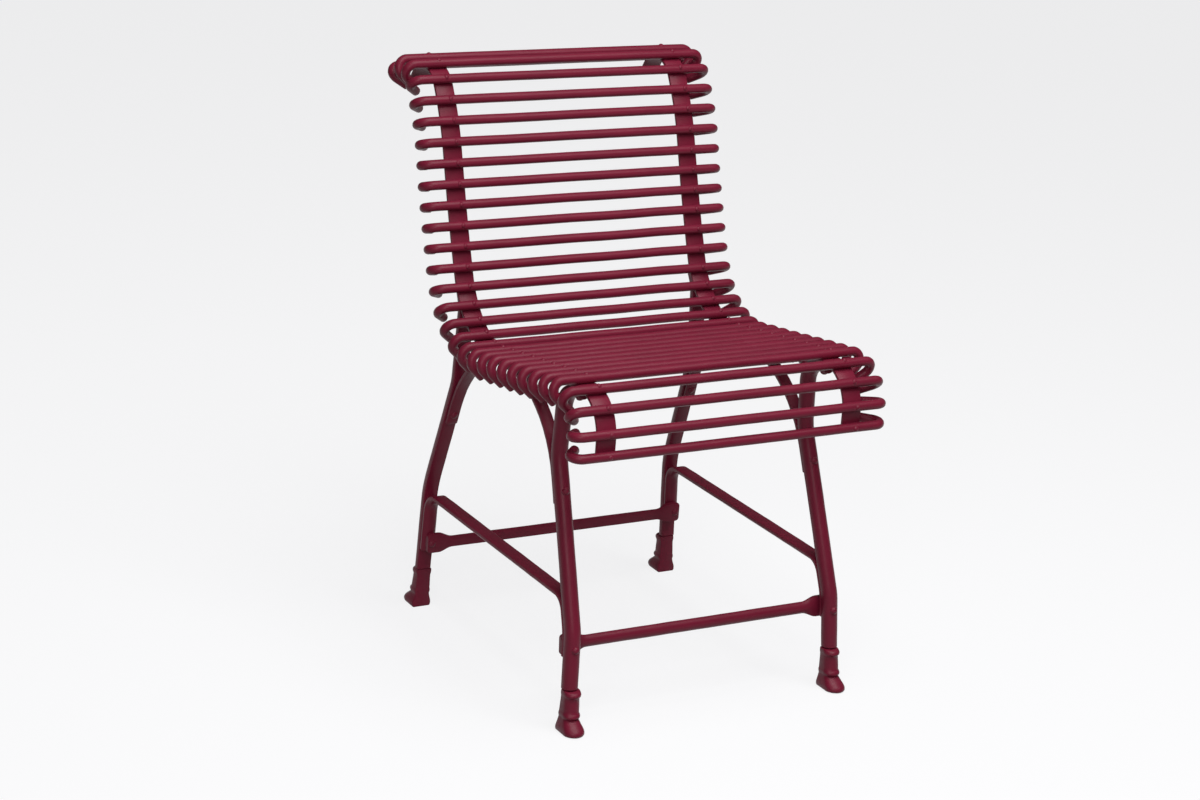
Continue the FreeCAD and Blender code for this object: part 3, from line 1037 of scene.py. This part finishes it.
@dataclass
class Slats:
    """The hooked rods of seat and back, in four runs along the straps."""

    shop: Workshop
    runner: StrapRunner
    overall_length: float = 465.0
    bend_radius: float = 12.0
    bend_angle: float = 135.0
    tail: float = 18.0
    sides: int = 14
    straight_steps: int = 16
    bend_steps: int = 14
    tip_share: float = 0.78
    near_tip_share: float = 0.93
    mark_depth: float = 0.12
    mark_spacing: float = 22.0
    tilt_spread: float = 1.6
    slide_spread: float = 0.25
    waver: float = 1.1
    first_seed: int = 11

    def centre_line(self) -> list[Station]:
        """Half of the rod's middle line, from the middle to the right tip.

        Returns:
            Stations whose y is along the rod and whose z is up from it.
        """
        radius = self.shop.frame.rod_diameter / 2
        bend = self.overall_length / 2 - radius - self.bend_radius
        steps = self.straight_steps
        line = [Station(at(bend * i / steps, 0.0), 0.0) for i in range(steps)]
        for i in range(self.bend_steps + 1):
            angle = math.radians(self.bend_angle) * i / self.bend_steps
            y = bend + self.bend_radius * math.sin(angle)
            z = self.bend_radius * (math.cos(angle) - 1)
            line.append(Station(at(y, z), -angle))
        end = line[-1]
        for length in (6.0, 12.0, self.tail - 1.2, self.tail - 0.4, self.tail):
            line.append(Station(end.point + end.along * length, end.heading))
        return line

    def rod(self) -> bpy.types.Object:
        """One rod round the origin, along X with its hooks down.

        Returns:
            The rod as an object that isn't part of the scene.
        """
        half = self.centre_line()
        radius = self.shop.frame.rod_diameter / 2
        last = len(half) - 1
        shares = {last: self.tip_share, last - 1: self.near_tip_share}
        order = [(-1, index) for index in range(last, 0, -1)]
        order += [(1, index) for index in range(last + 1)]
        rings = []
        for sign, index in order:
            station = half[index]
            size = radius * shares.get(index, 1.0)
            ring = []
            for k in range(self.sides):
                angle = 2 * math.pi * k / self.sides
                middle = station.point + station.left * (size * math.cos(angle))
                ring.append(Vector((sign * middle.y, size * math.sin(angle), middle.z)))
            rings.append(ring)
        shape = Shape.skinned(rings).worked(self.mark_depth, self.mark_spacing)
        return bpy.data.objects.new("rod_pattern", shape.mesh("rod_pattern", 0.0))

    def build(self) -> None:
        """Sets the four runs of rods on the straps."""
        rod = self.rod()
        values = {
            "Tilt Spread": math.radians(self.tilt_spread),
            "Slide Spread": self.slide_spread * MM,
            "Waver": self.waver * MM,
            "Paint": self.shop.paints[Slot.ROD],
        }
        for order, run in enumerate(self.shop.frame.runs):
            name = run.name + "s"
            mesh = self.runner.run(name, run, rod, {**values, "Seed": self.first_seed + order})
            nodes = ["%s_%02d" % (run.name, i + 1) for i in range(run.count)]
            self.shop.dress(mesh, name, Slot.ROD, nodes)
        bpy.data.objects.remove(rod)


@dataclass
class SlatRivets:
    """The small round heads that hold every rod on its two straps."""

    shop: Workshop
    runner: StrapRunner
    head_diameter: float = 8.0
    head_height: float = 1.6
    sunk: float = 2.2

    def head(self) -> bpy.types.Object:
        """One head over the origin, made to sink into the top of a rod."""
        shape = Shape()
        base = UP * (self.shop.frame.rod_diameter / 2 - self.sunk)
        domed(shape, base, UP, self.head_diameter / 2, self.sunk + self.head_height)
        return bpy.data.objects.new("rivet_pattern", shape.mesh("rivet_pattern", 0.0))

    def build(self) -> None:
        """Sets the rivets of both straps, with the long ones through the rear legs."""
        head = self.head()
        for side in Side:
            name = "rod_rivets_" + side.word
            values = {
                "Sideways": side.value * self.shop.frame.strap_spacing / 2 * MM,
                "Paint": self.shop.paints[Slot.RIVET],
            }
            build = bmesh.new()
            for run in self.shop.frame.runs:
                build.from_mesh(self.runner.run("rivets", run, head, values))
            build.from_mesh(self.tail(side).mesh("tail", self.shop.shift_y))
            whole = bpy.data.meshes.new(name)
            build.to_mesh(whole)
            build.free()
            smooth(whole, HEAD_CREASE)
            self.shop.dress(whole, name + "_heads", Slot.RIVET, [name])
        bpy.data.objects.remove(head)

    def tail(self, side: Side) -> Shape:
        """The head behind the rear leg of the rivet that holds its top."""
        frame = self.shop.frame
        here = frame.strap.place(frame.rear_rod_distance)
        depth = frame.strap_thickness / 2 + frame.leg_depth
        base = here.point - here.left * (depth - self.sunk)
        base.x = side.value * frame.strap_spacing / 2
        shape = Shape()
        domed(shape, base, -here.left, self.head_diameter / 2, self.sunk + self.head_height)
        return shape


@dataclass
class SideBars:
    """Straps, legs, arches and side stretchers of the two sides."""

    shop: Workshop
    ease: float = 1.1
    step: float = 9.0
    strap_step: float = 5.0
    end_ease: float = 1.2
    strap_mark_depth: float = 0.6
    strap_mark_spacing: float = 1.6
    mark_depth: float = 0.22
    mark_spacing: float = 24.0

    def build(self) -> None:
        """Builds and dresses the bars of both sides."""
        frame = self.shop.frame
        for side in Side:
            self.strap(side)
            leg = half_round(frame.leg_width, frame.leg_depth, frame.leg_edge, self.ease)
            self.bar("front_leg", side, frame.front_leg(), leg, 1)
            self.bar("rear_leg", side, frame.rear_leg(), leg, -1)
            arch = flat_bar(frame.arch_width, 0.0, frame.arch_thickness, self.ease)
            self.bar("seat_arch", side, frame.arch(), arch, -1)
            stretcher = half_round(
                frame.side_bar_width, frame.side_bar_depth, frame.side_bar_edge, self.ease
            )
            self.bar("side_stretcher", side, frame.side_bar(), stretcher, -1)

    def strap(self, side: Side) -> None:
        """Builds one strap, which stands upright and isn't leaned."""
        frame = self.shop.frame
        half = frame.strap_thickness / 2
        outline = flat_bar(frame.strap_width, -half, half, self.ease)
        shape = swept(frame.strap.stations(self.strap_step), outline, 1)
        shape.worked(
            self.mark_depth * self.strap_mark_depth, self.mark_spacing * self.strap_mark_spacing
        )
        shape.moved(Vector((side.value * frame.strap_spacing / 2, 0.0, 0.0)))
        name = "strap_" + side.word
        self.shop.finish(shape, name + "_bar", Slot.BAR, [name])

    def bar(self, name: str, side: Side, line: BentLine, outline: Outline, out: int) -> None:
        """Builds one bent bar of a leaning side.

        Args:
            name: The CAD node's name without its side.
            side: The side that it stands on.
            line: The bar's path.
            outline: The bar's section.
            out: 1 where the section stands to the left of the path, -1 to the right.
        """
        middle = max(height for _, height in outline) / 2
        shape = swept(line.stations(self.step), outline, out, self.end_ease, middle)
        shape.worked(self.mark_depth, self.mark_spacing).leaned(side, self.shop.frame)
        node = "%s_%s" % (name, side.word)
        self.shop.finish(shape, node + "_bar", Slot.BAR, [node])


@dataclass
class CrossBars:
    """The front and rear stretchers, with forged palms at their ends."""

    shop: Workshop
    ease: float = 0.9
    palm_edge: float = 5.5
    tip_round: float = 6.0
    tip_share: float = 0.72
    tip_swell: float = 0.28
    mark_depth: float = 0.2
    mark_spacing: float = 26.0

    def profile(self, along: float, reach: float) -> tuple[float, float]:
        """Height and side height of the bar at a distance from its middle.

        Args:
            along: Distance from the middle of the bar.
            reach: Half of the bar's length.

        Returns:
            The height of the section and of its straight sides.
        """
        frame = self.shop.frame
        palm_start = reach - frame.palm_width
        neck = (palm_start - along) / frame.palm_neck
        blend = min(1.0, max(0.0, 1.0 - neck))
        blend = blend * blend * (3 - 2 * blend)
        height = frame.cross_bar_height + blend * (frame.palm_height - frame.cross_bar_height)
        edge = frame.cross_bar_edge + blend * (self.palm_edge - frame.cross_bar_edge)
        into_tip = max(0.0, along - (reach - self.tip_round))
        if into_tip > 0:
            share = min(1.0, into_tip / self.tip_round)
            height *= self.tip_share + self.tip_swell * math.sqrt(1 - share * share)
        return height, edge

    def build(self) -> None:
        """Builds and dresses both stretchers."""
        frame = self.shop.frame
        for front in (True, False):
            joint = frame.joint(front, True)
            out = joint.left if front else -joint.left
            face = joint.point - out * (frame.side_bar_depth + frame.cross_bar_depth)
            reach = frame.lean_x(face.z) + frame.palm_beyond
            places = [reach * k / 20 for k in range(17)]
            places += [reach - frame.palm_width - frame.palm_neck * (1 - k / 6) for k in range(7)]
            places += [reach - self.tip_round * k for k in (2.0, 1.0, 0.6, 0.3, 0.1, 0.0)]
            places = sorted(set(round(place, 3) for place in places))
            rings = []
            for x in [-place for place in reversed(places[1:])] + places:
                height, edge = self.profile(abs(x), reach)
                outline = half_round(height, frame.cross_bar_depth, edge, self.ease)
                shift = Vector((x, 0.0, 0.0))
                rings.append(
                    [face + joint.along * up + out * rise + shift for up, rise in outline]
                )
            shape = Shape.skinned(rings).worked(self.mark_depth, self.mark_spacing)
            node = "front_stretcher" if front else "rear_stretcher"
            self.shop.finish(shape, node + "_bar", Slot.BAR, [node])


@dataclass
class FrameRivets:
    """The larger rivets that hold legs, arches and stretchers together."""

    shop: Workshop
    head_diameter: float = 11.0
    head_height: float = 3.0
    sunk: float = 1.5
    inner_sunk: float = 0.5

    def joints(self) -> list[tuple[Station, Vector, float, float]]:
        """Each joint's station, its axis outwards, and the depths out and in."""
        frame = self.shop.frame
        bars = frame.side_bar_depth + frame.cross_bar_depth
        joints = []
        for front in (True, False):
            for low, inward in ((True, bars), (False, frame.arch_thickness)):
                here = frame.joint(front, low)
                axis = here.left if front else -here.left
                joints.append((here, axis, frame.leg_depth, inward))
        for distance, depth in (
            (frame.front_rivet_distance, frame.leg_depth),
            (frame.arch_rivet_distance, frame.arch_thickness),
        ):
            here = frame.strap.place(distance).shifted(-frame.strap_thickness / 2)
            joints.append((here, -here.left, depth, frame.strap_thickness))
        return joints

    def build(self) -> None:
        """Builds and dresses the rivets of both sides."""
        radius = self.head_diameter / 2
        for side in Side:
            shape = Shape()
            for station, axis, outward, inward in self.joints():
                outer = station.point + axis * (outward - self.sunk)
                inner = station.point - axis * (inward - self.inner_sunk)
                domed(shape, outer, axis, radius, self.head_height + self.sunk)
                domed(shape, inner, -axis, radius, self.head_height + self.inner_sunk)
            shape.leaned(side, self.shop.frame)
            node = "frame_rivets_" + side.word
            self.shop.finish(shape, node + "_heads", Slot.RIVET, [node], HEAD_CREASE)


@dataclass(frozen=True)
class HoofRing:
    """One level of a cast hoof: its height, half width and depth from the flat face."""

    z: float
    half_width: float
    depth: float


@dataclass
class Hooves:
    """The four cast hooves, with a collar, a pastern, a fetlock ring and a toe."""

    shop: Workshop
    inward: float = 1.0
    toe_round: float = 1.15
    arris: float = 1.4
    mark_depth: float = 0.25
    mark_spacing: float = 9.0
    rings: tuple[HoofRing, ...] = tuple(
        HoofRing(*row)
        for row in (
            (0.0, 12.4, 34.6), (0.9, 13.2, 37.2), (3.0, 13.8, 38.6), (5.2, 13.8, 38.5),
            (7.4, 13.5, 37.2), (9.8, 12.8, 34.6), (12.4, 12.0, 31.0), (15.0, 11.3, 27.4),
            (17.2, 10.8, 24.2), (18.4, 10.6, 22.8), (19.6, 10.9, 24.2), (21.2, 11.3, 25.6),
            (22.8, 11.5, 26.0), (24.6, 11.3, 25.4), (26.2, 10.8, 23.7), (27.2, 10.6, 22.9),
            (31.0, 10.5, 22.4), (36.0, 10.4, 21.9), (41.0, 10.3, 21.2), (46.0, 10.2, 20.5),
            (47.4, 10.4, 21.4), (49.0, 10.8, 23.0), (50.8, 11.0, 23.4), (52.6, 10.9, 22.6),
            (54.2, 10.7, 20.8), (55.0, 10.4, 19.2),
        )
    )

    def build(self) -> None:
        """Builds and dresses the four hooves."""
        frame = self.shop.frame
        for side in Side:
            for name, flat_y, out in (
                ("front_hoof", frame.front_ankle_y, -1),
                ("rear_hoof", frame.rear_ankle_y, 1),
            ):
                shape = Shape.skinned([self.ring(level, flat_y, out) for level in self.rings])
                shape.worked(self.mark_depth, self.mark_spacing).leaned(side, frame)
                shape.moved(Vector((-side.value * self.inward, 0.0, 0.0)))
                for point in shape.points:
                    point.z = max(0.0, point.z)
                node = "%s_%s" % (name, side.word)
                self.shop.finish(shape, node + "_casting", Slot.CAST, [node], CASTING_CREASE)

    def ring(self, level: HoofRing, flat_y: float, out: int) -> list[Vector]:
        """Points of one level of the hoof.

        Args:
            level: The level's sizes.
            flat_y: Place of the flat face.
            out: Direction of the toe along Y.

        Returns:
            The ring's points.
        """
        edge = level.depth - self.toe_round * level.half_width
        outline = half_round(level.half_width * 2, level.depth, edge, self.arris)
        return [Vector((x, flat_y + out * rise, level.z)) for x, rise in outline]


@dataclass(frozen=True)
class SoftBox:
    """A square soft box, with its place and size in metres and its power in watts."""

    name: str
    place: tuple[float, float, float]
    size: float
    power: float


@dataclass(frozen=True)
class Studio:
    """The pale floor, the lamps and the camera of the photograph."""

    focal_length: float = 83.4
    sensor_width: float = 36.0
    camera_place: tuple[float, float, float] = (-1809.6, -3005.1, 1493.8)
    yaw: float = -30.22
    pitch: float = 18.08
    roll: float = 4.15
    far_clip: float = 30.0
    boxes: tuple[SoftBox, ...] = (
        SoftBox("top_box", (0.2, -1.1, 2.9), 2.2, 88.0),
        SoftBox("front_box", (-1.9, -2.7, 1.9), 1.6, 42.0),
    )
    lit_place: tuple[float, float, float] = (0.0, 0.0, 0.4)
    room_colour: str = "#f7f7f9"
    room_light: float = 0.11
    floor_reach: float = 12.0

    def camera(self, shift_y: float) -> None:
        """Sets the camera where the photograph was taken from.

        Args:
            shift_y: Movement from the side plane's frame to the chair's frame.
        """
        data = bpy.data.cameras.new("photo_camera")
        data.lens = self.focal_length
        data.sensor_width = self.sensor_width
        data.clip_end = self.far_clip
        camera = linked("photo_camera", data)
        yaw, pitch = math.radians(self.yaw), math.radians(self.pitch)
        look = Vector((-math.sin(yaw), math.cos(yaw), 0.0)) * math.cos(pitch)
        look.z = -math.sin(pitch)
        right = look.cross(UP).normalized()
        up = right.cross(look)
        roll = math.radians(self.roll)
        turned_right = right * math.cos(roll) + up * math.sin(roll)
        turned_up = up * math.cos(roll) - right * math.sin(roll)
        turn = Matrix((turned_right, turned_up, -look)).transposed().to_4x4()
        x, y, z = self.camera_place
        camera.matrix_world = Matrix.Translation((x * MM, (y + shift_y) * MM, z * MM)) @ turn
        bpy.context.scene.camera = camera

    def lights(self) -> None:
        """Sets a large soft box above and in front, and a weaker one on the left."""
        target = Vector(self.lit_place)
        for box in self.boxes:
            data = bpy.data.lights.new(box.name, "AREA")
            data.size = box.size
            data.energy = box.power
            lamp = linked(box.name, data)
            lamp.location = box.place
            way = target - Vector(box.place)
            lamp.rotation_euler = way.to_track_quat("-Z", "Y").to_euler()

    def world(self) -> None:
        """Makes a dim even room that the camera sees as pale."""
        world = bpy.data.worlds.new("studio_room")
        bpy.context.scene.world = world
        world.use_nodes = True
        world.node_tree.nodes.clear()
        node = partial(add_node, world.node_tree)
        pale = linear(self.room_colour)
        dim = node("ShaderNodeBackground", {"Color": pale, "Strength": self.room_light})
        shown = node("ShaderNodeBackground", {"Color": pale, "Strength": 1.0})
        seen = node("ShaderNodeLightPath").outputs["Is Camera Ray"]
        mixed = node("ShaderNodeMixShader", {0: seen, 1: dim, 2: shown})
        node("ShaderNodeOutputWorld", {"Surface": mixed})

    def floor(self) -> None:
        """Lays the pale floor under the hooves."""
        mesh = bpy.data.meshes.new("studio_floor")
        reach = self.floor_reach
        corners = [(-reach, -reach, 0), (reach, -reach, 0), (reach, reach, 0), (-reach, reach, 0)]
        mesh.from_pydata(corners, [], [(0, 1, 2, 3)])
        mesh.materials.append(PaleFloor().build())
        linked("studio_floor", mesh)

    def build(self, shift_y: float) -> None:
        """Sets up camera, lamps, room and floor."""
        self.camera(shift_y)
        self.lights()
        self.world()
        self.floor()
        bpy.context.scene.view_settings.view_transform = "Standard"


def main() -> None:
    """Builds the chair's pieces in order and reports each one."""
    logging.basicConfig(level=logging.INFO, format="%(message)s")
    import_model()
    # Blender takes this seed from the clock otherwise, and each run gives other marks.
    noise.seed_set(MARK_SEED)
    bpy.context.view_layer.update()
    frame = SideFrame()
    strap_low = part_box("strap_left")[0]
    shift_y = strap_low[1] / MM - (frame.strap.start_y - frame.strap_thickness / 2)
    paints = {
        Slot.ROD: WinePaint("painted_round_steel").build(),
        Slot.BAR: WinePaint("painted_forged_steel", dent_mm=20.0, dent_depth_mm=0.3).build(),
        Slot.CAST: WinePaint("painted_cast_iron", dent_mm=5.0, dent_depth_mm=0.2).build(),
        Slot.RIVET: WinePaint("painted_rivet_steel", dent_mm=4.0, dent_depth_mm=0.08).build(),
    }
    shop = Workshop(frame, paints, shift_y)
    runner = StrapRunner(shop, AlongStrapTree().build())
    Slats(shop, runner).build()
    SlatRivets(shop, runner).build()
    SideBars(shop).build()
    CrossBars(shop).build()
    FrameRivets(shop).build()
    Hooves(shop).build()
    Studio().build(shift_y)


if __name__ == "__main__":
    main()
